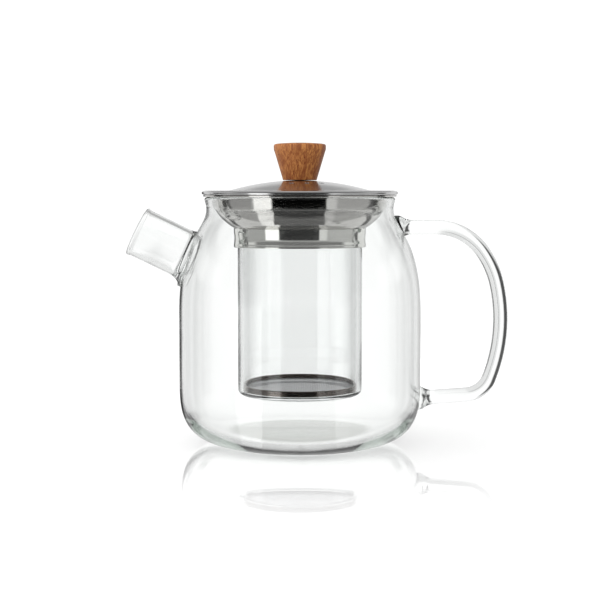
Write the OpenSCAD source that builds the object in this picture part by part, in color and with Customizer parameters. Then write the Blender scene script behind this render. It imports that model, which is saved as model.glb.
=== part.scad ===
// Glass teapot with a lift-out infuser and a steel lid with a turned wooden knob.
// Millimetres, +Z up. The origin is the centre of the flat base, the spout points
// along -X and the handle along +X.

/* [Glass pot] */
// Largest outer radius of the body
body_r = 54.5; // [52:0.1:57]
// Height of the glass, from the base to the top of the mouth
pot_h = 111; // [109:0.5:112]
// Outer radius at the narrowest part of the neck
neck_r = 42; // [41.5:0.1:43]
// Radius of the flat base that the pot stands on
base_r = 25; // [22:0.5:32]
// Height at which the rounded heel has become the upright wall
heel_h = 28; // [24:0.1:30]
// Roundness of the heel: 2 is an ellipse, and more is squarer
heel_power = 3; // [2:0.05:3.5]
// Wall thickness of the body
wall = 1.6; // [1.2:0.1:2.2]
// Wall thickness at the neck
neck_wall = 2.2; // [1.8:0.1:2.4]
// Thickness of the floor
floor_t = 3; // [2:0.1:4]

/* [Spout] */
// Angle of the spout above the horizontal
spout_tilt = 26; // [23:1:28]
// Height at which the spout's axis meets the pot's axis
spout_z = 60; // [59:0.1:62]
// Distance from there to the spout's tip
spout_reach = 81.5; // [76:0.1:84]
// Outer radius of the spout's tube
spout_r = 11.05; // [10:0.05:11.5]
// Wall thickness of the spout
spout_wall = 1.6; // [1.2:0.1:2]

/* [Handle] */
// Radius of the handle's glass rod
rod_r = 3.25; // [2.8:0.05:3.6]
// Height of the upper end
handle_top_z = 97.4; // [96:0.1:99]
// Distance of the grip's centreline from the pot's axis
grip_x = 90.7; // [86:0.1:96]

/* [Infuser] */
// Outer radius of the collar's bowl, where its curve would stand upright
bowl_r = 39.8; // [39.6:0.1:39.9]
// Thickness of the steel sheet
sheet = 0.7; // [0.6:0.05:0.8]
// Outer radius of the band under the bowl
band_r = 29.7; // [29.6:0.1:30]
// Outer radius of the glass tube
tube_r = 28; // [27.8:0.1:28.1]
// Wall thickness of the glass tube
tube_wall = 1.9; // [1.6:0.1:2.1]
// Height of the tube's foot above the pot's base
tube_foot_z = 22.1; // [18:0.1:24]
// Height of the strainer's ring
strainer_h = 2.5; // [2.2:0.1:3]

/* [Lid] */
// Outer radius of the rolled rim
lid_r = 44; // [43.8:0.1:45]
// Height of the dome's crown above the base
crown_z = 118.4; // [117.8:0.1:119.5]
// Radius of each steam vent
vent_r = 1.2; // [0.7:0.05:1.4]
// Distance of the vents from the axis
vent_ring_r = 17; // [14:0.1:20]

/* [Knob] */
// Radius of the knob's upper band
knob_top_r = 11.7; // [11:0.1:12.5]
// Radius of the knob's foot
knob_foot_r = 7.65; // [7:0.05:9]
// Height of the knob
knob_h = 16.7; // [15:0.1:18]

/* [Hidden] */
$fn = 96;

seat_gap = 0.1;          // air between pieces that rest on each other but come apart
belly_z = 58;            // where the shoulder starts to curve in
shoulder_z = 94;         // pull of the shoulder's lower curve
neck_pull_z = 96;        // pull of the shoulder's upper curve
neck_z = 106;            // where the shoulder has become the neck
mouth_flare = 0.8;       // how far the mouth stands outside the neck
mouth_wall = 2.4;        // thickness of the fire-polished mouth
mouth_r = neck_r + mouth_flare;
inner_drop = 1.2;        // lowers the inner shoulder, so that the slope keeps its thickness

weld_len = 5.5;          // length of a fused root's fillet
spout_weld = 3.2;        // how far the spout's root spreads
spout_lip = 0.4;         // outward lip at the spout's tip
spout_lip_len = 2.2;
spout_bore_r = spout_r - spout_wall;

handle_weld = 2;         // how far the handle's roots spread
handle_root_x = [40, 50];            // where the two roots start, inside the wall
handle_foot_x = [50, 60.4];          // where their fillets end
rod_step = 0.02;

flange_r = 43.4;         // outer radius of the bowl's flange
flange_z = pot_h + seat_gap;
bowl_curve_r = 20;       // outer radius of the bowl's wall, in section
bowl_heart = [bowl_r - bowl_curve_r, 114];
bowl_low_z = 96.3;       // underside of the bowl
lip_bend = 0.6;          // inside bend radius between flange and wall
bowl_hole_r = 28.6;
band_wall = 0.6;
band_z = 88.9;           // bottom of the band
band_lip_r = 28.35;      // bore of the band's in-turned lip

tube_top_z = 96.2;
tube_rim_r = tube_r + 0.7;
tube_rim_h = 1.7;
tube_bore_r = tube_r - tube_wall;
foot_bore_r = 24.2;      // the tube's in-turned foot, which the strainer rests on
foot_round = 2.4;
ring_z = tube_foot_z + tube_wall + seat_gap;
ring_r = tube_bore_r - 0.25;
ring_bore_r = 24.6;
mesh_t = 0.4;
mesh_z = ring_z + 0.3;
mesh_r = ring_r - 0.5;

lid_sheet = 0.7;
dome_k = 220;            // twice the dome's radius of curvature
dome_end_r = 30.5;
flat_start_r = 33;
bead_r = 0.85;           // half the height of the rolled rim
bead_c = [lid_r - bead_r, flange_z + sheet + seat_gap + bead_r];
skirt_r = 36.8;
skirt_z = 106.8;
vent_angles = [-102, -79, -56];      // measured about +Z from +X
screw_r = 2;
screw_reach = 9;
screw_fit = 0.05;

// Points of a circular arc from angle a0 to a1, in n steps.
function arc(c, r, a0, a1, n = 8) =
    [for (i = [0:n]) let (a = a0 + (a1 - a0) * i / n) c + r * [cos(a), sin(a)]];

// A point of a cubic Bezier curve.
function cubic(p, t) =
    pow(1 - t, 3) * p[0] + 3 * pow(1 - t, 2) * t * p[1]
    + 3 * (1 - t) * t * t * p[2] + pow(t, 3) * p[3];

function cubic_points(p, n, first = 0) = [for (i = [first:n]) cubic(p, i / n)];

// The heel, from the flat base out and up to the upright wall.
function heel(r0, r1, z0, z1, n) = [
    for (i = [0:n]) let (a = 90 * i / n)
        [r0 + (r1 - r0) * pow(sin(a), 2 / heel_power), z0 + (z1 - z0) * (1 - pow(cos(a), 2 / heel_power))]
];

// The shoulder, from the upright wall in to the neck. drop lowers the middle of the curve.
function shoulder(r0, r1, drop, n) = cubic_points(
    [[r0, belly_z], [r0, shoulder_z - drop], [r1, neck_pull_z - drop], [r1, neck_z]], n);

function pot_outside() = concat(
    [[0, 0]],
    heel(base_r, body_r, 0, heel_h, 16),
    shoulder(body_r, neck_r, 0, 18),
    [[neck_r + mouth_flare * 0.45, pot_h - 3.2]]);

function pot_mouth() = arc([mouth_r - mouth_wall / 2, pot_h - mouth_wall / 2], mouth_wall / 2, 0, 180, 8);

function reversed(points) = [for (i = [len(points) - 1:-1:0]) points[i]];

function pot_inside() = concat(
    [[neck_r - neck_wall + mouth_flare * 0.3, pot_h - 3.2]],
    reversed(shoulder(body_r - wall, neck_r - neck_wall, inner_drop, 18)),
    reversed(heel(base_r - 1, body_r - wall, floor_t, heel_h, 16)),
    [[0, floor_t]]);

module pot_block() {
    rotate_extrude()
        polygon(concat(pot_outside(), [[mouth_r, pot_h], [0, pot_h]]));
}

// Places its children so that +Z runs along the spout's axis, away from the pot.
module on_spout_axis() {
    translate([0, 0, spout_z])
        rotate([0, spout_tilt - 90, 0])
            children();
}

module pot_body() {
    color([0.93, 0.96, 0.95, 0.35])
        difference() {
            rotate_extrude()
                polygon(concat(pot_outside(), pot_mouth(), pot_inside()));
            on_spout_axis()
                cylinder(r = spout_bore_r, h = spout_reach);
        }
}

// Concave fillet of a fused root: r grows from r_tube to r_tube + spread as s falls to s_end - weld_len.
function weld_fillet(r_tube, spread, s_end, n = 6) = [
    for (i = [0:n]) let (a = 90 * i / n)
        [r_tube + spread * (1 - cos(a)), s_end - weld_len * sin(a)]
];

module spout() {
    root_s = 50;
    lip_c = spout_reach - spout_wall / 2;
    color([0.93, 0.96, 0.95, 0.35])
        difference() {
            on_spout_axis()
                rotate_extrude()
                    polygon(concat(
                        [[spout_bore_r, root_s], [spout_r + spout_weld, root_s]],
                        reversed(weld_fillet(spout_r, spout_weld, 60.2)),
                        [[spout_r, spout_reach - spout_lip_len]],
                        arc([spout_r + spout_lip - spout_wall / 2, lip_c], spout_wall / 2, 0, 180, 8)));
            pot_block();
        }
}

// A bend of the rod in the XZ plane. c is its centre, and the rod passes it from angle a0 to a0 - turn.
// A proud bend is a hair thicker, and its neighbours run a little way into it.
module rod_bend(c, r, a0, turn, proud) {
    extra = proud ? 0 : 12 / r;
    translate([c[0], 0, c[1]])
        rotate([90, 0, 0])
            rotate([0, 0, a0 - turn - extra])
                rotate_extrude(angle = turn + 2 * extra)
                    translate([r, 0])
                        circle(r = rod_r + (proud ? rod_step : 0));
}

// The rod's four bends, from the upper end round to the lower end: radius and turn in degrees.
bends = [[25.6, 54], [41, 23], [73.5, 34], [12, 65]];

// Heading of the rod, in degrees clockwise from +X, before bend i.
function heading(i) = i == 0 ? 0 : heading(i - 1) + bends[i - 1][1];

// Centre of bend i. Each bend starts where the last one ends, and runs on in the same direction.
function bend_centre(i) =
    i == 0 ? [bend_start_x, handle_top_z - bends[0][0]]
    : bend_centre(i - 1) + (bends[i - 1][0] - bends[i][0]) * [sin(heading(i)), cos(heading(i))];

bend_start_x = grip_x - 29.4;

function rod_end() = bend_centre(3) + bends[3][0] * [sin(heading(4)), cos(heading(4))];

module handle_rod() {
    last = rod_end();
    translate([handle_root_x[0], 0, handle_top_z])
        rotate([0, 90, 0])
            cylinder(r = rod_r, h = bend_start_x - handle_root_x[0] + 0.2);
    for (i = [0:3])
        rod_bend(bend_centre(i), bends[i][0], 90 - heading(i), bends[i][1], i % 2 == 0);
    translate([last[0], 0, last[1]])
        rotate([0, 90 + heading(4), 0])
            cylinder(r = rod_r + rod_step, h = last[0] - handle_root_x[1]);
}

// A root of the rod, spread where it is fused to the body.
module handle_root(x_start, x_end, z) {
    translate([0, 0, z])
        rotate([0, 90, 0])
            rotate_extrude()
                polygon(concat(
                    [[0, x_start], [rod_r + handle_weld, x_start]],
                    reversed(weld_fillet(rod_r, handle_weld, x_end - 0.6)),
                    [[rod_r, x_end], [0, x_end]]));
}

module handle() {
    low_z = rod_end()[1] - (rod_end()[0] - handle_foot_x[1]) * tan(180 - heading(4));
    color([0.93, 0.96, 0.95, 0.35])
        difference() {
            union() {
                handle_rod();
                handle_root(handle_root_x[0], handle_foot_x[0], handle_top_z);
                handle_root(handle_root_x[1], handle_foot_x[1], low_z);
            }
            pot_block();
        }
}

// Degrees below level at which the bowl's curve of radius r is at height z.
function bowl_angle(z, r) = asin((bowl_heart[1] - z) / r);

// Height of the bowl's underside at radius r.
function bowl_under(r) = bowl_heart[1] - sqrt(pow(bowl_curve_r, 2) - pow(r - bowl_heart[0], 2));

// Spun steel bowl: a flange that hangs in the mouth, and a curved wall down to a hole.
module infuser_bowl() {
    top_a = bowl_angle(flange_z - lip_bend, bowl_curve_r);
    low_a = bowl_angle(bowl_low_z, bowl_curve_r);
    inner_r = bowl_curve_r - sheet;
    inner_low_a = bowl_angle(bowl_low_z + sheet, inner_r);
    bend = [bowl_heart[0] + bowl_curve_r * cos(top_a) + lip_bend, flange_z - lip_bend];
    color([0.72, 0.72, 0.70])
        rotate_extrude()
            polygon(concat(
                [[flange_r, flange_z]],
                arc(bend, lip_bend, 90, 180, 5),
                arc(bowl_heart, bowl_curve_r, -top_a - 1, -low_a, 12),
                [[bowl_hole_r, bowl_low_z], [bowl_hole_r, bowl_low_z + sheet]],
                arc(bowl_heart, inner_r, -inner_low_a, -top_a - 2, 12),
                arc(bend, lip_bend + sheet, 180, 90, 5),
                [[flange_r, flange_z + sheet]]));
}

// Steel band welded under the bowl, waisted where it grips the gasket, with an in-turned lip.
module infuser_band() {
    waist = 0.25;
    inner = band_r - band_wall;
    weld_gap = 0.02;
    mid_z = (band_z + bowl_low_z) / 2;
    color([0.70, 0.70, 0.68])
        rotate_extrude()
            polygon([
                [band_lip_r, band_z], [band_r - 0.3, band_z], [band_r, band_z + 0.4],
                [band_r, band_z + 1.6], [band_r - waist, mid_z], [band_r, bowl_low_z - 1.6],
                [band_r, bowl_under(band_r) - weld_gap], [inner, bowl_low_z - weld_gap],
                [inner, bowl_low_z - 1.6], [inner - waist, mid_z], [inner, band_z + 1.6],
                [inner, band_z + band_wall], [band_lip_r, band_z + band_wall]
            ]);
}

// Silicone sleeve between the band and the tube, stepped to carry the tube's rim.
module tube_gasket() {
    outer = band_r - band_wall - 0.3;
    low = band_z + band_wall + 0.05;
    step = tube_top_z - tube_rim_h;
    color([0.90, 0.90, 0.88, 0.6])
        rotate_extrude()
            polygon([
                [tube_r + 0.03, low], [outer, low], [outer, bowl_low_z - 0.05],
                [tube_rim_r + 0.03, bowl_low_z - 0.05], [tube_rim_r + 0.03, step - 0.03],
                [tube_r + 0.03, step - 0.03]
            ]);
}

// Glass tube: a rim at the top, and a rounded foot turned in under the strainer.
module infuser_tube() {
    half = tube_wall / 2;
    color([0.93, 0.95, 0.96, 0.35])
        rotate_extrude()
            polygon(concat(
                arc([foot_bore_r + half, tube_foot_z + half], half, 90, 270, 6),
                arc([tube_r - foot_round, tube_foot_z + foot_round], foot_round, -90, 0, 8),
                [[tube_r, tube_top_z - tube_rim_h]],
                arc([tube_rim_r - tube_rim_h / 2, tube_top_z - tube_rim_h / 2], tube_rim_h / 2, -90, 90, 8),
                [[tube_bore_r + 0.4, tube_top_z], [tube_bore_r, tube_top_z - 0.4]],
                arc([tube_bore_r - 0.5, tube_foot_z + tube_wall + 0.5], 0.5, 0, -90, 4)));
}

// Steel channel ring that holds the edge of the mesh.
module strainer_ring() {
    lip = 0.15;
    groove = 0.02;
    color([0.42, 0.38, 0.34])
        rotate_extrude()
            polygon([
                [ring_bore_r, ring_z], [ring_r - lip, ring_z], [ring_r, ring_z + lip],
                [ring_r, ring_z + strainer_h - lip], [ring_r - lip, ring_z + strainer_h],
                [ring_bore_r + lip, ring_z + strainer_h], [ring_bore_r, ring_z + strainer_h - lip],
                [ring_bore_r, mesh_z + mesh_t + groove], [mesh_r + groove, mesh_z + mesh_t + groove],
                [mesh_r + groove, mesh_z - groove], [ring_bore_r, mesh_z - groove]
            ]);
}

// Disc of woven steel mesh.
module strainer_mesh() {
    color([0.62, 0.62, 0.62])
        translate([0, 0, mesh_z])
            cylinder(r = mesh_r, h = mesh_t);
}

function dome_z(r) = crown_z - r * r / dome_k;

// Height of the lid's upper face: the dome, a short concave sweep, then the flat.
function lid_z(r) =
    let (
        slope = -2 * dome_end_r / dome_k,
        span = flat_start_r - dome_end_r,
        u = min(r, flat_start_r) - dome_end_r
    )
    r <= dome_end_r ? dome_z(r) : dome_z(dome_end_r) + slope * (u - u * u / (2 * span));

lid_radii = [2.2, 8, 12, 16, 20, 24, 27, 29, 30.5, 31, 31.6, 32.3, 33];

// Domed steel lid with a rolled rim, three steam vents and a hole for the knob's screw.
module lid_shell() {
    flat_z = lid_z(flat_start_r);
    join_r = bead_c[0] - 0.6;
    color([0.74, 0.74, 0.74])
        difference() {
            rotate_extrude()
                polygon(concat(
                    [for (r = lid_radii) [r, lid_z(r)]],
                    [[join_r, flat_z]],
                    arc(bead_c, bead_r, 90, -180, 14),
                    [[join_r, flat_z - lid_sheet]],
                    reversed([for (r = lid_radii) [r, lid_z(r) - lid_sheet]])));
            for (a = vent_angles)
                rotate([0, 0, a])
                    translate([vent_ring_r, 0, crown_z - 4])
                        cylinder(r = vent_r, h = 8, $fn = 32);
        }
}

// Steel ring spot-welded under the lid, which centres it in the bowl.
module lid_skirt() {
    top = lid_z(flat_start_r) - lid_sheet;
    color([0.70, 0.70, 0.70])
        rotate_extrude()
            polygon([
                [skirt_r - 0.6, skirt_z], [skirt_r, skirt_z], [skirt_r, top],
                [skirt_r - 2.6, top], [skirt_r - 2.6, top - 0.6], [skirt_r - 0.6, top - 0.6]
            ]);
}

knob_z = dome_z(knob_foot_r) + 0.3;

// Turned beech knob: a cone that widens to a short upright band, with a crowned top.
module knob() {
    top = knob_z + knob_h;
    edge = 1;
    crown = 0.6;
    color([0.72, 0.45, 0.26])
        difference() {
            rotate_extrude()
                polygon(concat(
                    [[0, knob_z], [knob_foot_r - 0.3, knob_z], [knob_foot_r, knob_z + 0.3],
                     [knob_top_r - 0.25, top - 3.6], [knob_top_r, top - 2.6]],
                    arc([knob_top_r - edge, top - crown - edge], edge, 0, 75, 5),
                    [[knob_top_r * 0.6, top - crown * 0.36], [knob_top_r * 0.3, top - crown * 0.09], [0, top]]));
            translate([0, 0, knob_z - 1])
                cylinder(r = screw_r + screw_fit, h = screw_reach + 2);
        }
}

screw_head_z = lid_z(0) - lid_sheet - 0.25;
washer_t = 0.8;

// Pan-head screw with a cross recess, driven up through the lid into the knob.
module knob_screw() {
    head_r = 3.8;
    head_h = 2.2;
    top = knob_z + screw_reach;
    seat = screw_head_z - washer_t - 0.05;
    color([0.66, 0.66, 0.66])
        difference() {
            rotate_extrude()
                polygon(concat(
                    [[0, seat - head_h]],
                    arc([head_r - 1.2, seat - 1.2], 1.2, -60, 0, 4),
                    [[head_r, seat], [screw_r, seat], [screw_r, top - 1.6], [0.5, top], [0, top]]));
            for (a = [0, 90])
                rotate([0, 0, a])
                    translate([-2, -0.4, seat - head_h - 1])
                        cube([4, 0.8, 2.2]);
        }
}

// Flat washer between the screw's head and the lid.
module knob_washer() {
    color([0.66, 0.66, 0.66])
        translate([0, 0, screw_head_z - washer_t])
            difference() {
                cylinder(r = 5.5, h = washer_t);
                translate([0, 0, -1])
                    cylinder(r = screw_r + 0.2, h = washer_t + 2);
            }
}

pot_body();
spout();
handle();
infuser_bowl();
infuser_band();
tube_gasket();
infuser_tube();
strainer_ring();
strainer_mesh();
lid_shell();
lid_skirt();
knob();
knob_screw();
knob_washer();
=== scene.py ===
"""Glass teapot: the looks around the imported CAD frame.

In the shape code every length is in millimetres, in the row frame, and mesh_object() turns it into
metres. In the materials, the floor and the camera every length is in metres.
"""
import bpy
import bmesh
import math
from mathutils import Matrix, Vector


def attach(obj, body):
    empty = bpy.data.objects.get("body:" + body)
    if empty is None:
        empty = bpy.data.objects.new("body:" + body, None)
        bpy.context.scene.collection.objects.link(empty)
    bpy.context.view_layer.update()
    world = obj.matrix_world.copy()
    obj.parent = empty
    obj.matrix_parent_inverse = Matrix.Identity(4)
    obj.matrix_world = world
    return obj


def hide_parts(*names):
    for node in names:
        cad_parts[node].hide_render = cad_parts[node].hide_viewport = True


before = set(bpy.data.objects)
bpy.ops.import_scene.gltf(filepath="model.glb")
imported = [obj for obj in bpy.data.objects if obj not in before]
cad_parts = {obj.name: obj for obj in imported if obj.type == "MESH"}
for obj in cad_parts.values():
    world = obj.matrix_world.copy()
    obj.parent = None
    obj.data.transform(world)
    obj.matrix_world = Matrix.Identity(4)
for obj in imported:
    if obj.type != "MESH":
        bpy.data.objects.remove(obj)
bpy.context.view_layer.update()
MM = 0.001
scene = bpy.context.scene


# ---------------------------------------------------------------- mesh helpers

SHARP_ANGLE = 38.0  # edges sharper than this stay sharp, in degrees
MERGE = 0.002       # points closer than this become one after a cut


def mesh_object(name, verts, faces, sharp=SHARP_ANGLE):
    mesh = bpy.data.meshes.new(name)
    mesh.from_pydata([Vector(v) * MM for v in verts], [], faces)
    obj = bpy.data.objects.new(name, mesh)
    scene.collection.objects.link(obj)
    tidy_mesh(obj, sharp)
    return obj


def tidy_mesh(obj, sharp, merge=0.0):
    """Join double points, turn the faces outwards and shade them smooth up to sharp edges."""
    bm = bmesh.new()
    bm.from_mesh(obj.data)
    if merge:
        bmesh.ops.remove_doubles(bm, verts=bm.verts, dist=merge * MM)
    bmesh.ops.recalc_face_normals(bm, faces=bm.faces)
    for face in bm.faces:
        face.smooth = True
    bm.to_mesh(obj.data)
    bm.free()
    obj.data.set_sharp_from_angle(angle=math.radians(sharp))


def revolve(name, outline, segments, place=None):
    """Closed solid of revolution about Z. A point on the axis becomes one vertex."""
    verts, rings = [], []
    for r, z in outline:
        start = len(verts)
        if r < 1e-6:
            rings.append([start] * segments)
            verts.append((0.0, 0.0, z))
        else:
            rings.append(list(range(start, start + segments)))
            for k in range(segments):
                a = 2 * math.pi * k / segments
                verts.append((r * math.cos(a), r * math.sin(a), z))
    faces = []
    for i, low in enumerate(rings):
        high = rings[(i + 1) % len(rings)]
        if low[0] == low[1] and high[0] == high[1]:
            continue
        for k in range(segments):
            j = (k + 1) % segments
            quad = [low[k], low[j], high[j], high[k]]
            faces.append(list(dict.fromkeys(quad)))
    if place:
        verts = [place(Vector(v)) for v in verts]
    return mesh_object(name, verts, faces)


def skin(start, rings, sides):
    """Faces of a tube of rings, each of so many sides, with a flat face at both ends."""
    faces = []
    for i in range(rings - 1):
        low = start + i * sides
        for k in range(sides):
            j = (k + 1) % sides
            faces.append([low + k, low + j, low + sides + j, low + sides + k])
    faces.append([start + k for k in range(sides)])
    faces.append([start + (rings - 1) * sides + k for k in range(sides)])
    return faces


def sweep(name, points, radii, sides=40):
    """Round rod along points in the XZ plane, closed at both ends."""
    verts = []
    last = len(points) - 1
    for i, (x, z) in enumerate(points):
        ax, az = points[max(i - 1, 0)]
        bx, bz = points[min(i + 1, last)]
        d = math.hypot(bx - ax, bz - az)
        tx, tz = (bx - ax) / d, (bz - az) / d
        for k in range(sides):
            a = 2 * math.pi * (k + 0.5) / sides
            u, v = radii[i] * math.cos(a), radii[i] * math.sin(a)
            verts.append((x - u * tz, v, z + u * tx))
    return mesh_object(name, verts, skin(0, len(points), sides))


def boolean(obj, tool, how):
    """Join the tool to obj or cut it out, and remove the tool."""
    mod = obj.modifiers.new("cut", "BOOLEAN")
    mod.operation = how
    mod.solver = "EXACT"
    mod.object = tool
    deps = bpy.context.evaluated_depsgraph_get()
    mesh = bpy.data.meshes.new_from_object(obj.evaluated_get(deps))
    obj.modifiers.clear()
    obj.data = mesh
    bpy.data.objects.remove(tool)


# ---------------------------------------------------------------- node helpers

class Number:
    """A number made by nodes, with ordinary arithmetic."""

    def __init__(self, tree, socket):
        self.tree = tree
        self.socket = socket

    def maths(self, how, *others, clamp=False):
        inputs = dict(enumerate([self, *others]))
        made = node(self.tree, "ShaderNodeMath", inputs, operation=how, use_clamp=clamp)
        return Number(self.tree, made.outputs[0])

    def __add__(self, other):
        return self.maths("ADD", other)

    def __sub__(self, other):
        return self.maths("SUBTRACT", other)

    def __mul__(self, other):
        return self.maths("MULTIPLY", other)

    def __truediv__(self, other):
        return self.maths("DIVIDE", other)

    def __abs__(self):
        return self.maths("ABSOLUTE")


def feed(tree, target, inputs):
    """Fill inputs of a node: what nodes made is linked, anything else is set on the input itself."""
    for key, value in inputs.items():
        socket = target.inputs[key]
        if isinstance(value, Number):
            tree.links.new(value.socket, socket)
        elif isinstance(value, bpy.types.NodeSocket):
            tree.links.new(value, socket)
        elif socket.type == "RGBA":
            socket.default_value = (*value, 1.0)
        else:
            socket.default_value = value


def node(tree, kind, inputs=None, **settings):
    made = tree.nodes.new(kind)
    for key, value in settings.items():
        setattr(made, key, value)
    feed(tree, made, inputs or {})
    return made


def new_material(name):
    mat = bpy.data.materials.new(name)
    mat.use_nodes = True
    tree = mat.node_tree
    tree.nodes.clear()
    out = node(tree, "ShaderNodeOutputMaterial")
    shader = node(tree, "ShaderNodeBsdfPrincipled")
    feed(tree, out, {"Surface": shader.outputs["BSDF"]})
    return mat, tree, shader


def span(value, low, high, to_low, to_high):
    """value between low and high, mapped to to_low and to_high, smoothly and clamped."""
    inputs = {"Value": value, "From Min": low, "From Max": high, "To Min": to_low, "To Max": to_high}
    made = node(value.tree, "ShaderNodeMapRange", inputs, interpolation_type="SMOOTHSTEP")
    return Number(value.tree, made.outputs[0])


def window(value, low, high, soft):
    """1 between low and high, 0 outside, with soft edges."""
    return span(value, low - soft, low + soft, 0.0, 1.0) * span(value, high - soft, high + soft, 1.0, 0.0)


def noise(tree, vector, scale, detail=3.0, rough=0.5):
    inputs = {"Vector": vector, "Scale": scale, "Detail": detail, "Roughness": rough}
    return Number(tree, node(tree, "ShaderNodeTexNoise", inputs).outputs["Fac"])


def blend_colour(factor, low, high):
    """Colour low where factor is 0, colour high where it is 1."""
    made = node(factor.tree, "ShaderNodeMix", {"Factor": factor, 6: low, 7: high}, data_type="RGBA")
    return made.outputs[2]


def blend_level(factor, low, high):
    """Number low where factor is 0, number high where it is 1."""
    made = node(factor.tree, "ShaderNodeMix", {"Factor": factor, 2: low, 3: high}, data_type="FLOAT")
    return Number(factor.tree, made.outputs[0])


def bump(height, distance, strength):
    """The normal of a surface that rises by height times distance."""
    inputs = {"Height": height, "Distance": distance, "Strength": strength}
    return node(height.tree, "ShaderNodeBump", inputs).outputs["Normal"]


def object_place(tree):
    return node(tree, "ShaderNodeTexCoord").outputs["Object"]


def split(tree, vector):
    """x, y and z of a vector."""
    return [Number(tree, part) for part in node(tree, "ShaderNodeSeparateXYZ", {0: vector}).outputs]


def joined(x, y, z):
    return node(x.tree, "ShaderNodeCombineXYZ", {0: x, 1: y, 2: z}).outputs[0]


def from_axis(x, y):
    """Distance from the pot's axis."""
    return (x * x + y * y).maths("SQRT")


def light_path(tree):
    """The Light Path node's outputs by name."""
    return {output.name: Number(tree, output) for output in node(tree, "ShaderNodeLightPath").outputs}


# ---------------------------------------------------------------- materials

def glass(name, density, tint):
    """Borosilicate: clear, with faint blowing waves, and a depth of colour where the glass is thick."""
    mat, tree, shader = new_material(name)
    waves = noise(tree, object_place(tree), scale=55.0, detail=2.0, rough=0.4)
    feed(tree, shader, {
        "Base Color": blend_colour(waves, (0.985, 0.995, 0.99), (1.0, 1.0, 1.0)),
        "Transmission Weight": 1.0,
        "IOR": 1.47,
        "Roughness": 0.0,
        "Normal": bump(waves, distance=0.0004, strength=0.12),
    })
    fill = node(tree, "ShaderNodeVolumeAbsorption", {"Color": tint, "Density": density})
    feed(tree, tree.get_output_node("ALL"), {"Volume": fill.outputs[0]})
    return mat


def spun_steel(name, light, dark, rough, aniso=0.4, metal=1.0):
    """Stainless sheet with fine lines that run round the axis and soft cloudy wear."""
    lines_per_metre = 2600.0
    lines_round = 1.6
    mat, tree, shader = new_material(name)
    place = object_place(tree)
    x, y, z = split(tree, place)
    angle = y.maths("ARCTAN2", x)
    along = joined(from_axis(x, y) * lines_per_metre, angle * lines_round, z * lines_per_metre)
    fine = noise(tree, along, scale=1.0, detail=3.0, rough=0.65)
    cloud = noise(tree, place, scale=70.0, detail=4.0, rough=0.55)
    wear = fine * 0.6 + cloud * 0.4
    feed(tree, shader, {
        "Base Color": blend_colour(wear, dark, light),
        "Metallic": metal,
        "Roughness": span(wear, 0.3, 0.7, *rough),
        "Anisotropic": aniso,
        "Anisotropic Rotation": 0.25,
        "Tangent": node(tree, "ShaderNodeTangent", direction_type="RADIAL", axis="Z").outputs[0],
        "Normal": bump(fine, distance=0.00002, strength=0.25),
    })
    return mat


def beech():
    """Turned beech: fine upright fibre, soft ring bands and short reddish ray flecks."""
    pale_fibre, dark_fibre = (0.53, 0.215, 0.060), (0.27, 0.080, 0.020)
    band_colour, fleck_colour = (0.225, 0.054, 0.013), (0.14, 0.026, 0.007)
    mat, tree, shader = new_material("beech")
    place = object_place(tree)
    x, y, z = split(tree, place)
    wobble = (noise(tree, place, scale=90.0, detail=2.0, rough=0.5) - 0.5) * 0.0022
    grain_x = x + wobble
    grain_y = y - wobble

    def grain(across, along):
        """Place in the wood, so many cells to the metre across the fibre and along it."""
        return joined(grain_x * across, grain_y * across, z * along)

    fibre = noise(tree, grain(1500.0, 95.0), scale=1.0, detail=4.0, rough=0.65)
    bands = noise(tree, grain(330.0, 28.0), scale=1.0, detail=2.0, rough=0.5)
    patch = noise(tree, grain(520.0, 150.0), scale=1.0, detail=2.0, rough=0.5)
    cells = node(tree, "ShaderNodeTexVoronoi", {"Vector": grain(1500.0, 420.0), "Scale": 1.0})
    fleck = span(Number(tree, cells.outputs["Distance"]), 0.18, 0.34, 1.0, 0.0)
    colour = blend_colour(span(fibre, 0.36, 0.64, 0.0, 1.0), dark_fibre, pale_fibre)
    colour = blend_colour(span(bands, 0.45, 0.65, 0.0, 0.6), colour, band_colour)
    colour = blend_colour(fleck * span(patch, 0.35, 0.6, 0.15, 0.8), colour, fleck_colour)
    feed(tree, shader, {
        "Base Color": colour,
        "Roughness": span(fibre, 0.3, 0.7, 0.42, 0.56),
        "Specular IOR Level": 0.3,
        "Normal": bump(fibre - fleck * 0.6, distance=0.00006, strength=0.5),
    })
    return mat


def silicone():
    mat, tree, shader = new_material("silicone")
    place = object_place(tree)
    cloud = noise(tree, place, scale=90.0)
    feed(tree, shader, {
        "Base Color": blend_colour(cloud, (0.80, 0.80, 0.78), (0.88, 0.88, 0.87)),
        "Roughness": span(cloud, 0.3, 0.7, 0.38, 0.5),
        "Subsurface Weight": 0.2,
        "Normal": bump(noise(tree, place, scale=1500.0), distance=0.00002, strength=0.3),
    })
    return mat


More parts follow.
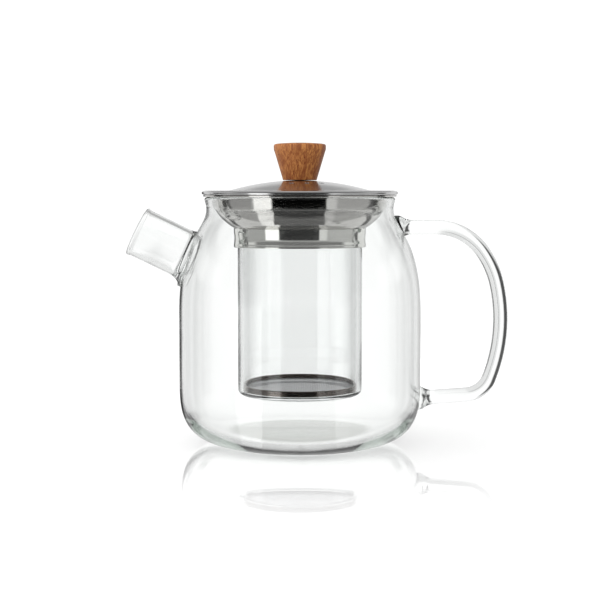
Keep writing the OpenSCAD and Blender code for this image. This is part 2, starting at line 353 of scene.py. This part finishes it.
POT_GLASS = glass("pot_glass", density=45.0, tint=(0.885, 0.91, 0.893))
TUBE_GLASS = glass("tube_glass", density=40.0, tint=(0.91, 0.92, 0.93))
BOWL_STEEL = spun_steel("bowl_steel", (0.66, 0.65, 0.63), (0.58, 0.57, 0.55), rough=(0.05, 0.10), aniso=0.15)
BAND_STEEL = spun_steel("band_steel", (0.88, 0.88, 0.85), (0.76, 0.76, 0.73), rough=(0.05, 0.09), aniso=0.2)
LID_STEEL = spun_steel("lid_steel", (0.70, 0.70, 0.70), (0.62, 0.62, 0.62), rough=(0.15, 0.22), aniso=0.3)
SKIRT_STEEL = spun_steel("skirt_steel", (0.66, 0.66, 0.66), (0.58, 0.58, 0.58), rough=(0.2, 0.3))
RING_STEEL = spun_steel("ring_steel", (0.24, 0.20, 0.17), (0.13, 0.11, 0.105), rough=(0.22, 0.34))
MESH_STEEL = spun_steel("mesh_steel", (0.95, 0.95, 0.97), (0.88, 0.88, 0.91), rough=(0.4, 0.5),
                        aniso=0.0, metal=0.55)
SCREW_STEEL = spun_steel("screw_steel", (0.66, 0.66, 0.66), (0.55, 0.55, 0.55), rough=(0.2, 0.3))
BEECH = beech()
SILICONE = silicone()


def finish_piece(obj, material, body, slot, *nodes):
    obj.data.materials.clear()
    obj.data.materials.append(material)
    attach(obj, body)
    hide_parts(*nodes)


# ---------------------------------------------------------------- outlines: lists of (radius, height)

def arc(centre_r, centre_z, radius, start, end, steps):
    """Points of a circular arc, angles in degrees from +r towards +z."""
    angles = [math.radians(start + (end - start) * i / steps) for i in range(steps + 1)]
    return [(centre_r + radius * math.cos(a), centre_z + radius * math.sin(a)) for a in angles]


def cubic(controls, steps):
    """Points of the cubic curve with these four control points."""
    points = []
    for i in range(steps + 1):
        t = i / steps
        weights = ((1 - t) ** 3, 3 * (1 - t) ** 2 * t, 3 * (1 - t) * t * t, t ** 3)
        points.append(tuple(sum(w * c[axis] for w, c in zip(weights, controls)) for axis in (0, 1)))
    return points


# ---------------------------------------------------------------- the pot's body

POT_H = 111.0
BODY_R = 54.5
BASE_R = 25.0
NECK_R = 42.0
WALL = 1.6
NECK_WALL = 2.2
BASE_T = 3.0
HEEL_POWER = 3.0      # squareness of the heel: 2 is an ellipse
HEEL_Z = 28.0         # the rounded heel ends and the straight wall starts
WALL_TOP_Z = 58.0     # the straight wall ends and the shoulder starts
SHOULDER_Z = 94.0     # the shoulder turns inwards about here
NECK_LOW_Z = 96.0     # and up into the neck about here
NECK_Z = 106.0
RIM_R = 1.2           # radius of the rounded rim
RIM_CENTRE = (NECK_R + 0.8 - RIM_R, POT_H - RIM_R)
ABOVE_MOUTH = 116.0   # the cavity is cut up to here


def heel(foot_r, wall_r, foot_z, steps=40):
    """Superellipse from the foot out to the straight wall."""
    power = 2 / HEEL_POWER
    points = []
    for i in range(steps + 1):
        a = math.pi / 2 * i / steps
        out = max(0.0, math.sin(a)) ** power
        up = 1 - max(0.0, math.cos(a)) ** power
        points.append((foot_r + (wall_r - foot_r) * out, foot_z + (HEEL_Z - foot_z) * up))
    return points


def straight_wall(r, steps=6):
    return [(r, HEEL_Z + (WALL_TOP_Z - HEEL_Z) * i / steps) for i in range(1, steps)]


def shoulder(wall_r, neck_r, drop=0.0):
    """S-curve from the wall in to the neck, lower by drop where it turns."""
    wall_end = [(wall_r, WALL_TOP_Z), (wall_r, SHOULDER_Z - drop)]
    neck_end = [(neck_r, NECK_LOW_Z - drop), (neck_r, NECK_Z)]
    return cubic(wall_end + neck_end, 48)


def pot_outside():
    flare = [(NECK_R + 0.14, 107.0), (NECK_R + 0.42, 108.2), (NECK_R + 0.7, 109.2)]
    return ([(0.0, 0.0)]
            + heel(BASE_R, BODY_R, 0.0)
            + straight_wall(BODY_R)
            + shoulder(BODY_R, NECK_R)
            + flare
            + arc(*RIM_CENTRE, RIM_R, 0, 90, 10)
            + [(0.0, POT_H)])


def pot_cavity():
    wall_r = BODY_R - WALL
    neck_r = NECK_R - NECK_WALL
    middle = [(0.0, BASE_T + 0.5), (12.0, BASE_T + 0.3)]  # the base is a little thicker in the middle
    flare = [(neck_r + 0.06, 107.4), (neck_r + 0.24, 108.6)]
    return (middle
            + heel(BASE_R - 1.0, wall_r, BASE_T)
            + straight_wall(wall_r)
            + shoulder(wall_r, neck_r, drop=1.2)
            + flare
            + arc(*RIM_CENTRE, RIM_R, 180, 92, 9)
            + [(RIM_CENTRE[0] - 0.04, ABOVE_MOUTH), (0.0, ABOVE_MOUTH)])


# ---------------------------------------------------------------- the spout, along its own axis

SPOUT_TILT = 26.0     # degrees above level
SPOUT_Z = 60.0        # its axis crosses the pot's axis here
SPOUT_TIP = 81.5
SPOUT_R = 11.05
SPOUT_WALL = 1.6
SPOUT_FLARE = 0.4     # how far the lip opens out
SPOUT_ROOT = 40.0     # the tube starts here, in the body's cavity, which cuts it off
SPOUT_WELD_END = 60.2  # the fillet at its root ends here
LIP_R = SPOUT_R + SPOUT_FLARE - SPOUT_WALL / 2
LIP_Z = SPOUT_TIP - SPOUT_WALL / 2


def on_spout(v):
    """A point built about +Z, turned to the spout's axis, which rises towards -X."""
    a = math.radians(SPOUT_TILT)
    along = Vector((-math.cos(a), 0.0, math.sin(a)))
    across = Vector((math.sin(a), 0.0, math.cos(a)))
    sideways = Vector((0.0, 1.0, 0.0))
    return Vector((0.0, 0.0, SPOUT_Z)) + along * v.z + across * v.x + sideways * v.y


def weld(r, spread, end, length, steps=10):
    """Concave fillet of a fused root, from its wide end outwards."""
    points = []
    for i in range(steps, -1, -1):
        a = math.pi / 2 * i / steps
        points.append((r + spread * (1 - math.cos(a)), end - length * math.sin(a)))
    return points


def spout_outside():
    flare = [(SPOUT_R, SPOUT_TIP - 2.6), (SPOUT_R + 0.08, SPOUT_TIP - 1.9), (SPOUT_R + 0.25, SPOUT_TIP - 1.3)]
    return ([(0.0, SPOUT_ROOT), (SPOUT_R + 2.0, SPOUT_ROOT)]
            + weld(SPOUT_R, spread=3.2, end=SPOUT_WELD_END, length=5.5)
            + [(SPOUT_R, 68.0)]
            + flare
            + arc(LIP_R, LIP_Z, SPOUT_WALL / 2, 0, 90, 8)
            + [(0.0, SPOUT_TIP)])


def spout_bore():
    bore_r = SPOUT_R - SPOUT_WALL
    low, high = SPOUT_ROOT - 4.0, SPOUT_TIP + 5.0
    return ([(0.0, low), (bore_r, low), (bore_r, 70.0), (bore_r, SPOUT_TIP - 2.0)]
            + arc(LIP_R, LIP_Z, SPOUT_WALL / 2, 180, 92, 8)
            + [(LIP_R - 0.03, high), (0.0, high)])


# ---------------------------------------------------------------- the handle

ROD_R = 3.25
ARM_Z = 97.4          # height of the level upper arm
ARM_END_X = 61.3      # where the upper arm ends and the bends start
ROD_START_X = 40.0    # both ends lie in the cavity, which cuts them off
ROD_END_X = 50.0
BENDS = ((25.6, 54.0), (41.0, 23.0), (73.5, 34.0), (12.0, 65.0))  # radius and degrees of turn
UPPER_FOOT_X = 50.2   # the rod swells from here inwards, where it is fused to the body
LOWER_FOOT_X = 60.2
SWELL = 2.0
SWELL_LENGTH = 5.2


def handle_line():
    """The rod's centreline: out along the top, four bends, and back in."""
    x, z, heading = ARM_END_X, ARM_Z, 0.0
    points = [(ROD_START_X + (x - ROD_START_X) * i / 14, z) for i in range(15)]
    for radius, turn in BENDS:
        centre_x = x - radius * math.sin(math.radians(heading))
        centre_z = z - radius * math.cos(math.radians(heading))
        steps = max(8, int(turn / 2.5))
        for i in range(1, steps + 1):
            a = math.radians(heading + turn * i / steps)
            points.append((centre_x + radius * math.sin(a), centre_z + radius * math.cos(a)))
        x, z = points[-1]
        heading += turn
    slope = math.tan(math.radians(180.0 - heading))
    for i in range(1, 21):
        next_x = x + (ROD_END_X - x) * i / 20
        points.append((next_x, z - (x - next_x) * slope))
    return points


def swell(x, foot_x):
    """How much thicker the rod is near a root."""
    t = min(1.0, max(0.0, (foot_x - x) / SWELL_LENGTH))
    return SWELL * (1 - math.cos(t * math.pi / 2))


def rod_radii(line):
    half = len(line) // 2
    feet = [UPPER_FOOT_X if i < half else LOWER_FOOT_X for i in range(len(line))]
    return [ROD_R + swell(x, foot_x) for (x, z), foot_x in zip(line, feet)]


def build_pot():
    """Body, spout and handle as one fused piece of glass."""
    line = handle_line()
    pot = revolve("glass_pot", pot_outside(), 256)
    boolean(pot, revolve("spout_solid", spout_outside(), 128, on_spout), "UNION")
    boolean(pot, sweep("rod_solid", line, rod_radii(line)), "UNION")
    boolean(pot, revolve("cavity", pot_cavity(), 256), "DIFFERENCE")
    boolean(pot, revolve("bore", spout_bore(), 128, on_spout), "DIFFERENCE")
    tidy_mesh(pot, sharp=40.0, merge=MERGE)
    finish_piece(pot, POT_GLASS, "pot", "pot_glass", "pot_body", "spout", "handle")


# ---------------------------------------------------------------- the infuser's bowl

SHEET = 0.7
FLANGE_R = 43.4
FLANGE_Z = POT_H + 0.1
FLANGE_BEND = 0.6     # inner radius of the bend from the flange into the bowl
CURVE_R = 20.0        # the bowl's wall is an arc of this radius
HEART_R = 19.8        # about a centre at this radius and height
HEART_Z = 114.0
BOWL_LOW = 96.3
BOWL_BORE = 28.6


def below(z, r):
    """Degrees below level at which the bowl's curve of radius r is at height z."""
    return math.degrees(math.asin((HEART_Z - z) / r))


def bowl_outline():
    bend_z = FLANGE_Z - FLANGE_BEND
    high = below(bend_z, CURVE_R)
    low = below(BOWL_LOW, CURVE_R)
    inner_r = CURVE_R - SHEET
    inner_low = below(BOWL_LOW + SHEET, inner_r)
    bend = (HEART_R + CURVE_R * math.cos(math.radians(high)) + FLANGE_BEND, bend_z)
    edge = [(FLANGE_R - 0.15, FLANGE_Z), (FLANGE_R, FLANGE_Z + 0.12),
            (FLANGE_R, FLANGE_Z + SHEET - 0.12), (FLANGE_R - 0.15, FLANGE_Z + SHEET)]
    return (edge
            + arc(*bend, FLANGE_BEND + SHEET, 90, 178, 10)
            + arc(HEART_R, HEART_Z, inner_r, -high - 1, -inner_low, 40)
            + [(BOWL_BORE, BOWL_LOW + SHEET), (BOWL_BORE, BOWL_LOW)]
            + arc(HEART_R, HEART_Z, CURVE_R, -low, -high - 0.5, 40)
            + arc(*bend, FLANGE_BEND, 180, 90, 8))


def build_bowl():
    bowl = revolve("steel_bowl", bowl_outline(), 256)
    finish_piece(bowl, BOWL_STEEL, "infuser", "bowl_steel", "infuser_bowl")


# ---------------------------------------------------------------- the infuser's band

BAND_R = 29.7
BAND_W = 0.6
BAND_Z = 88.9
BAND_BORE = 28.35     # the turned-in lower edge reaches in to here
BAND_CURL = 0.45      # outer radius of that edge
WAIST = 0.25          # how far the band is drawn in half way up


def band_outline():
    inner_r = BAND_R - BAND_W
    top_z = HEART_Z - math.sqrt(CURVE_R ** 2 - (BAND_R - HEART_R) ** 2) - 0.02
    waist = []
    for i in range(11):
        z = BAND_Z + 1.2 + (BOWL_LOW - BAND_Z - 2.4) * i / 10
        waist.append((WAIST * math.sin(math.pi * i / 10), z))
    return ([(BAND_BORE, BAND_Z + 0.1), (BAND_BORE + 0.1, BAND_Z)]
            + arc(BAND_R - BAND_CURL, BAND_Z + BAND_CURL, BAND_CURL, -90, 30, 8)
            + [(BAND_R - inwards, z) for inwards, z in waist]
            + [(BAND_R, BOWL_LOW - 0.5), (BAND_R, top_z), (inner_r, BOWL_LOW - 0.02)]
            + [(inner_r - inwards, z) for inwards, z in reversed(waist)]
            + [(inner_r, BAND_Z + BAND_W), (BAND_BORE, BAND_Z + BAND_W)])


def build_band():
    band = revolve("steel_band", band_outline(), 256)
    finish_piece(band, BAND_STEEL, "infuser", "band_steel", "infuser_band")


# ---------------------------------------------------------------- the infuser's glass tube

TUBE_R = 28.0
TUBE_WALL = 1.9
TUBE_TOP = 96.2
FOOT_Z = 22.1
FOOT_BORE = 24.2      # the foot is turned in to here
FOOT_BEND = 2.4
TUBE_BEAD = 0.85      # radius of the rounded top edge


def tube_outline():
    half = TUBE_WALL / 2
    inner_r = TUBE_R - TUBE_WALL
    outer_wall = [(TUBE_R, FOOT_Z + 8), (TUBE_R, 50.0), (TUBE_R, 80.0), (TUBE_R, TUBE_TOP - 2.2)]
    inner_edge = [(inner_r + 0.4, TUBE_TOP), (inner_r + 0.1, TUBE_TOP - 0.15), (inner_r, TUBE_TOP - 0.4)]
    return (arc(FOOT_BORE + half, FOOT_Z + half, half, 90, 270, 10)
            + arc(TUBE_R - FOOT_BEND, FOOT_Z + FOOT_BEND, FOOT_BEND, -90, 0, 12)
            + outer_wall
            + [(TUBE_R + 0.1, TUBE_TOP - 1.6)]
            + arc(TUBE_R - 0.15, TUBE_TOP - TUBE_BEAD, TUBE_BEAD, -60, 90, 10)
            + inner_edge
            + [(inner_r, 80.0), (inner_r, 50.0)]
            + arc(inner_r - 0.5, FOOT_Z + TUBE_WALL + 0.5, 0.5, 0, -90, 6))


def build_tube():
    tube = revolve("infuser_glass", tube_outline(), 224)
    finish_piece(tube, TUBE_GLASS, "infuser", "tube_glass", "infuser_tube")


# ---------------------------------------------------------------- the strainer

RING_Z = FOOT_Z + TUBE_WALL + 0.1
RING_R = TUBE_R - TUBE_WALL - 0.25
RING_BORE = 24.6
RING_H = 2.5
GROOVE_R = RING_R - 0.45          # the mesh sits in a groove in the ring's inner side
GROOVE_LOW = RING_Z + 0.25
GROOVE_HIGH = RING_Z + 0.75
MESH_R = 25.3
MESH_PITCH = 1.05
MESH_WIRE = 0.2


def ring_outline():
    top_z = RING_Z + RING_H
    groove = [(RING_BORE, GROOVE_HIGH), (GROOVE_R, GROOVE_HIGH),
              (GROOVE_R, GROOVE_LOW), (RING_BORE, GROOVE_LOW)]
    return (arc(RING_R - 0.2, RING_Z + 0.2, 0.2, -90, 0, 4)
            + arc(RING_R - 0.3, top_z - 0.3, 0.3, 0, 90, 6)
            + arc(RING_BORE + 0.3, top_z - 0.3, 0.3, 90, 180, 6)
            + groove
            + [(RING_BORE, RING_Z)])


def woven_disc(name, z, radius, pitch, wire, sides=5):
    """Plain weave of round wire, cut to a disc. Each wire goes over and under the ones it crosses."""
    verts, faces = [], []
    count = int(radius / pitch)
    for way in (0, 1):
        for k in range(-count, count + 1):
            offset = k * pitch
            reach = math.sqrt(max(0.0, radius ** 2 - offset ** 2))
            if reach < pitch:
                continue
            steps = max(4, int(2 * reach / pitch * 3))
            first = 1 if (k + way) % 2 == 0 else -1
            start = len(verts)
            for i in range(steps + 1):
                s = -reach + 2 * reach * i / steps
                h = z + first * wire * 0.5 * math.cos(math.pi * s / pitch)
                for j in range(sides):
                    a = 2 * math.pi * j / sides
                    u, v = wire / 2 * math.cos(a), wire / 2 * math.sin(a)
                    verts.append((s, offset + u, h + v) if way == 0 else (offset + u, s, h + v))
            faces += skin(start, steps + 1, sides)
    return mesh_object(name, verts, faces, sharp=60.0)


def build_strainer():
    ring = revolve("filter_ring", ring_outline(), 224)
    finish_piece(ring, RING_STEEL, "strainer", "ring_steel", "strainer_ring")
    mesh = woven_disc("filter_mesh", RING_Z + 0.5, MESH_R, MESH_PITCH, MESH_WIRE)
    finish_piece(mesh, MESH_STEEL, "strainer", "mesh_steel", "strainer_mesh")


# ---------------------------------------------------------------- the lid

CROWN_Z = 118.4
DOME_K = 220.0        # the dome falls by r squared over this
DOME_END = 30.5
FLAT_START = 33.0
KNOB_HOLE_R = 2.2
LID_R = 44.0
BEAD_R = 0.85         # radius of the rolled rim
BEAD_Z = FLANGE_Z + SHEET + 0.1 + BEAD_R
VENT_RING = 17.0
VENT_R = 1.2
VENT_ANGLES = (-102.0, -79.0, -56.0)


def lid_z(r):
    """Height of the lid's upper side: a dome, a short bend and a flat brim."""
    if r <= DOME_END:
        return CROWN_Z - r * r / DOME_K
    bend = FLAT_START - DOME_END
    u = min(r, FLAT_START) - DOME_END
    return CROWN_Z - DOME_END ** 2 / DOME_K - 2 * DOME_END / DOME_K * (u - u * u / (2 * bend))


def lid_outline():
    join_r = LID_R - BEAD_R - 0.6
    dome = [KNOB_HOLE_R + (DOME_END - KNOB_HOLE_R) * i / 40 for i in range(41)]
    radii = dome + [31.0, 31.5, 32.0, 32.5, 33.0, 36.0, 39.0, 41.0, join_r]
    return ([(r, lid_z(r)) for r in radii]
            + arc(LID_R - BEAD_R, BEAD_Z, BEAD_R, 90, -180, 24)
            + [(r, lid_z(r) - SHEET) for r in reversed(radii)])


def build_lid():
    lid = revolve("steel_lid", lid_outline(), 256)
    low, high = lid_z(VENT_RING) - 3, lid_z(VENT_RING) + 3
    hole = [(0.0, low), (VENT_R, low), (VENT_R, high), (0.0, high)]
    for angle in VENT_ANGLES:
        a = math.radians(angle)
        centre = Vector((VENT_RING * math.cos(a), VENT_RING * math.sin(a), 0.0))
        boolean(lid, revolve("vent", hole, 40, lambda v: v + centre), "DIFFERENCE")
    tidy_mesh(lid, sharp=35.0, merge=MERGE)
    finish_piece(lid, LID_STEEL, "lid", "lid_steel", "lid_shell")


# ---------------------------------------------------------------- the knob

KNOB_TOP_R = 11.7
KNOB_FOOT_R = 7.65
KNOB_H = 16.7
KNOB_Z = lid_z(KNOB_FOOT_R) + 0.3
KNOB_TOP_Z = KNOB_Z + KNOB_H


def knob_outline():
    widening = KNOB_TOP_R - 0.25 - KNOB_FOOT_R
    rise = KNOB_H - 4.0
    flank = [(KNOB_FOOT_R + widening * t, KNOB_Z + 0.4 + rise * t) for t in (0.05, 0.25, 0.5, 0.75, 0.97)]
    upper_edge = [(KNOB_TOP_R - 0.12, KNOB_TOP_Z - 3.3), (KNOB_TOP_R - 0.02, KNOB_TOP_Z - 2.8),
                  (KNOB_TOP_R, KNOB_TOP_Z - 2.2)]
    crown = [(KNOB_TOP_R * t, KNOB_TOP_Z - 0.6 * t * t) for t in (0.85, 0.7, 0.5, 0.3, 0.12)]
    return ([(0.0, KNOB_Z)]
            + arc(KNOB_FOOT_R - 0.35, KNOB_Z + 0.35, 0.35, -90, -10, 5)
            + flank
            + upper_edge
            + arc(KNOB_TOP_R - 0.9, KNOB_TOP_Z - 1.5, 0.9, 0, 78, 8)
            + crown
            + [(0.0, KNOB_TOP_Z)])


def build_knob():
    knob = revolve("wood_knob", knob_outline(), 160)
    finish_piece(knob, BEECH, "lid", "beech", "knob")


# ---------------------------------------------------------------- parts shown as the CAD made them

CAD_LOOKS = {"lid_skirt": SKIRT_STEEL, "knob_screw": SCREW_STEEL, "knob_washer": SCREW_STEEL,
             "tube_gasket": SILICONE}


def dress_cad_nodes():
    for name, material in CAD_LOOKS.items():
        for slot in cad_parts[name].material_slots:
            slot.material = material


# ---------------------------------------------------------------- the floor

FLOOR_R = 0.32
FLOOR_DROP = 0.00005  # just under the pot's foot
SHINE = 0.68          # how much of a mirror the floor is under the pot
SHINE_R = 0.02        # the shine is full up to here and gone at the next radius
SHINE_END_R = 0.215
SHADE = (0.62, 0.63, 0.61)
SHADE_R = 0.028       # the shade is full up to here and gone at the next radius
SHADE_END_R = 0.036


def disc(name, radius, segments=96):
    mesh = bpy.data.meshes.new(name)
    angles = [2 * math.pi * k / segments for k in range(segments)]
    rim = [(radius * math.cos(a), radius * math.sin(a), 0.0) for a in angles]
    mesh.from_pydata(rim, [], [list(range(segments))])
    obj = bpy.data.objects.new(name, mesh)
    scene.collection.objects.link(obj)
    return obj


def floor_material():
    """Pale and even, with a mirror shine that fades away from the pot, for rays straight from the
    camera. Reflected rays and rays through glass pass through it; those that only went through glass
    are dimmed under the pot."""
    mat, tree, shader = new_material("studio_floor")
    place = object_place(tree)
    x, y = split(tree, place)[:2]
    radius = from_axis(x, y)
    path = light_path(tree)
    cloud = noise(tree, place, scale=3.0)
    feed(tree, shader, {
        "Base Color": blend_colour(cloud, (0.945, 0.945, 0.945), (0.955, 0.955, 0.955)),
        "Roughness": 1.0,
        "Specular IOR Level": 0.0,
    })
    mirror = node(tree, "ShaderNodeBsdfGlossy", {"Color": (1.35, 1.35, 1.35), "Roughness": 0.02})
    shine = span(radius, SHINE_R, SHINE_END_R, SHINE, 0.0)
    top = node(tree, "ShaderNodeMixShader", {0: shine, 1: shader.outputs[0], 2: mirror.outputs[0]})
    under = span(radius, SHADE_R, SHADE_END_R, 1.0, 0.0)
    under = under.maths("SUBTRACT", path["Glossy Depth"], clamp=True)
    clear = node(tree, "ShaderNodeBsdfTransparent", {"Color": blend_colour(under, (1.0, 1.0, 1.0), SHADE)})
    bounced = (path["Glossy Depth"] + path["Transmission Depth"]).maths("MINIMUM", 1.0)
    seen = node(tree, "ShaderNodeMixShader", {0: bounced, 1: top.outputs[0], 2: clear.outputs[0]})
    feed(tree, tree.get_output_node("ALL"), {"Surface": seen.outputs[0]})
    return mat


def build_floor():
    floor = disc("floor", FLOOR_R)
    floor.location.z = -FLOOR_DROP
    floor.data.materials.append(floor_material())


# ---------------------------------------------------------------- the light

DEGREES = 180 / math.pi
CAMERA_LEVEL = 1.1    # plain white, for rays straight from the camera
SOFT_LEVEL = 1.30     # for matt surfaces
SOFT_FALL = -0.62     # from left to right


def layers(base, *stack):
    """A light level in layers: each (mask, level) covers the ones before it where its mask is 1."""
    light = base
    for mask, level in stack:
        light = blend_level(mask, light, level)
    return light


class Sky:
    """The directions round the pot, in numbers that the light is built from."""

    def __init__(self, tree):
        direction = node(tree, "ShaderNodeTexCoord").outputs["Generated"]
        self.dx, self.dy, self.dz = split(tree, direction)
        self.wide = abs(self.dx)
        self.upward = abs(self.dz)
        # degrees round from the front, more than 0 on the right, and degrees above level
        self.side = self.dx.maths("ARCTAN2", self.dy * -1.0) * DEGREES
        self.away = abs(self.side)
        self.lift = self.dz.maths("ARCSINE") * DEGREES
        # degrees from straight through the pot and a little down, with up and down taken alike
        ahead = self.dy * 0.996 + self.upward * 0.087
        self.bent = ahead.maths("MINIMUM", 1.0).maths("ARCCOSINE") * DEGREES
        self.to_left = span(self.dx, -0.20, -0.08, 1.0, 0.0)
        self.to_right = span(self.dx, 0.08, 0.20, 0.0, 1.0)


def room(sky):
    """Grey side walls, a paler back, and dark gaps between the walls and the table."""
    right_wall = window(sky.side, 48.0, 104.0, soft=4.0)
    back = window(sky.away, 120.0, 181.0, soft=3.0)
    low_gap = window(sky.lift, -29.0, -21.0, soft=2.0) * window(sky.away, 108.0, 158.0, soft=4.0)
    corner_gap = window(sky.away, 104.0, 120.0, soft=3.0) * span(sky.lift, -29.0, -23.0, 0.0, 1.0)
    behind = span(sky.bent, 22.0, 30.0, 1.0, 0.0)
    left_gap = window(sky.bent, 12.0, 27.0, soft=2.5) * span(sky.upward, 0.18, 0.36, 1.0, 0.0) * sky.to_left
    straight_behind = span(sky.bent, 9.0, 14.0, 1.0, 0.0)
    return layers(0.40, (right_wall, 0.50), (back, 0.85), (low_gap, 0.05), (corner_gap, 0.06),
                  (behind, 0.58), (left_gap, 0.08), (straight_behind, 1.0))


def with_front_card(sky, light):
    """A black card in front with a bright strip on each side; its edges lean inwards below the pot."""
    card_edge = sky.dy * -0.28 + 0.35
    strip_width = sky.dy * -0.285 + 0.25
    across = (sky.wide - card_edge) / strip_width
    in_front = span(sky.dy, 0.30, 0.50, 1.0, 0.0) * span(sky.dz, -0.02, 0.10, 1.0, 0.0)
    left = span(sky.dx, -0.02, 0.02, 1.0, 0.0)
    right = span(sky.dx, -0.02, 0.02, 0.0, 1.0)
    left_strip = window(across, -0.2, 1.0, soft=0.06) * left * in_front
    right_strip = window(across, -0.2, 0.46, soft=0.10) * right * in_front
    shift = blend_level(left, -0.06, 0.0)
    card = span(across - shift, -0.02, 0.02, 1.0, 0.0) * in_front
    card_level = span(sky.dy, -0.34, -0.10, 0.002, 0.17)
    return layers(light, (left_strip, 1.5), (right_strip, 0.80), (card, card_level))


def overhead(sky):
    """Pale low down at the back, greyer higher up, dim in front."""
    high = span(sky.lift, 17.5, 21.0, 0.0, 1.0)
    top = span(sky.lift, 40.0, 60.0, 0.0, 1.0)
    front = span(sky.dy, -0.25, 0.0, 1.0, 0.0) * span(sky.lift, 62.0, 72.0, 1.0, 0.0)
    return layers(0.80, (high, 0.42), (top, 0.62), (front, 0.19))


def seen_in_mirrors(sky):
    """What polished surfaces see."""
    tent = with_front_card(sky, room(sky))
    above = span(sky.lift, 6.0, 9.0, 0.0, 1.0)
    return layers(tent, (above, overhead(sky)))


def seen_through_glass(sky, path):
    """White behind the pot and off-white around it, with dark gaps for rays through one solid rod or
    one wall."""
    around = span(sky.wide, 0.085, 0.19, 0.0, 1.0)
    solid_only = path["Transmission Depth"].maths("LESS_THAN", 2.5) * span(sky.upward, 0.28, 0.46, 1.0, 0.0)
    on_left = sky.to_left * solid_only
    on_right = sky.to_right * solid_only
    left_gap = window(sky.bent, 13.0, 48.0, soft=3.0) * on_left
    thin_gap = window(sky.bent, 16.5, 19.0, soft=0.8) * on_right
    right_gap = window(sky.bent, 47.0, 66.0, soft=3.0) * on_right
    return layers(1.14, (around, 0.84), (left_gap, 0.07), (thin_gap, 0.40), (right_gap, 0.22))


def build_world():
    """The studio, with its own light level for rays from the camera, through glass, reflected and matt."""
    world = bpy.data.worlds.new("tent")
    scene.world = world
    world.use_nodes = True
    world.cycles.sampling_method = "NONE"
    tree = world.node_tree
    tree.nodes.clear()
    sky = Sky(tree)
    path = light_path(tree)
    reflected = path["Glossy Depth"].maths("MINIMUM", 1.0)
    soft = sky.dx * SOFT_FALL + SOFT_LEVEL
    light = layers(CAMERA_LEVEL,
                   (path["Is Transmission Ray"], seen_through_glass(sky, path)),
                   (reflected, seen_in_mirrors(sky)),
                   (path["Is Diffuse Ray"], soft))
    background = node(tree, "ShaderNodeBackground", {"Color": (1.0, 1.0, 1.0), "Strength": light})
    node(tree, "ShaderNodeOutputWorld", {0: background.outputs[0]})


# ---------------------------------------------------------------- the camera

CAMERA_PLACE = (0.0032, -0.620, 0.1145)
CAMERA_DOWN = 4.9     # degrees below level
LENS = 80.7
SENSOR = 36.0
BOUNCES = 24          # light is reflected many times inside the thick glass of the heel


def build_camera():
    data = bpy.data.cameras.new("camera")
    data.sensor_width = SENSOR
    data.lens = LENS
    camera = bpy.data.objects.new("camera", data)
    camera.location = CAMERA_PLACE
    camera.rotation_euler = (math.radians(90.0 - CAMERA_DOWN), 0.0, 0.0)
    scene.collection.objects.link(camera)
    scene.camera = camera


def set_view():
    scene.view_settings.view_transform = "Standard"
    scene.view_settings.look = "None"
    scene.cycles.max_bounces = BOUNCES
    scene.cycles.transmission_bounces = BOUNCES
    scene.cycles.glossy_bounces = BOUNCES
    scene.cycles.diffuse_bounces = 4
    scene.cycles.use_denoising = True


# ---------------------------------------------------------------- everything in its place

build_pot()
build_bowl()
build_band()
build_tube()
build_strainer()
build_lid()
build_knob()
dress_cad_nodes()
build_floor()
build_world()
build_camera()
set_view()
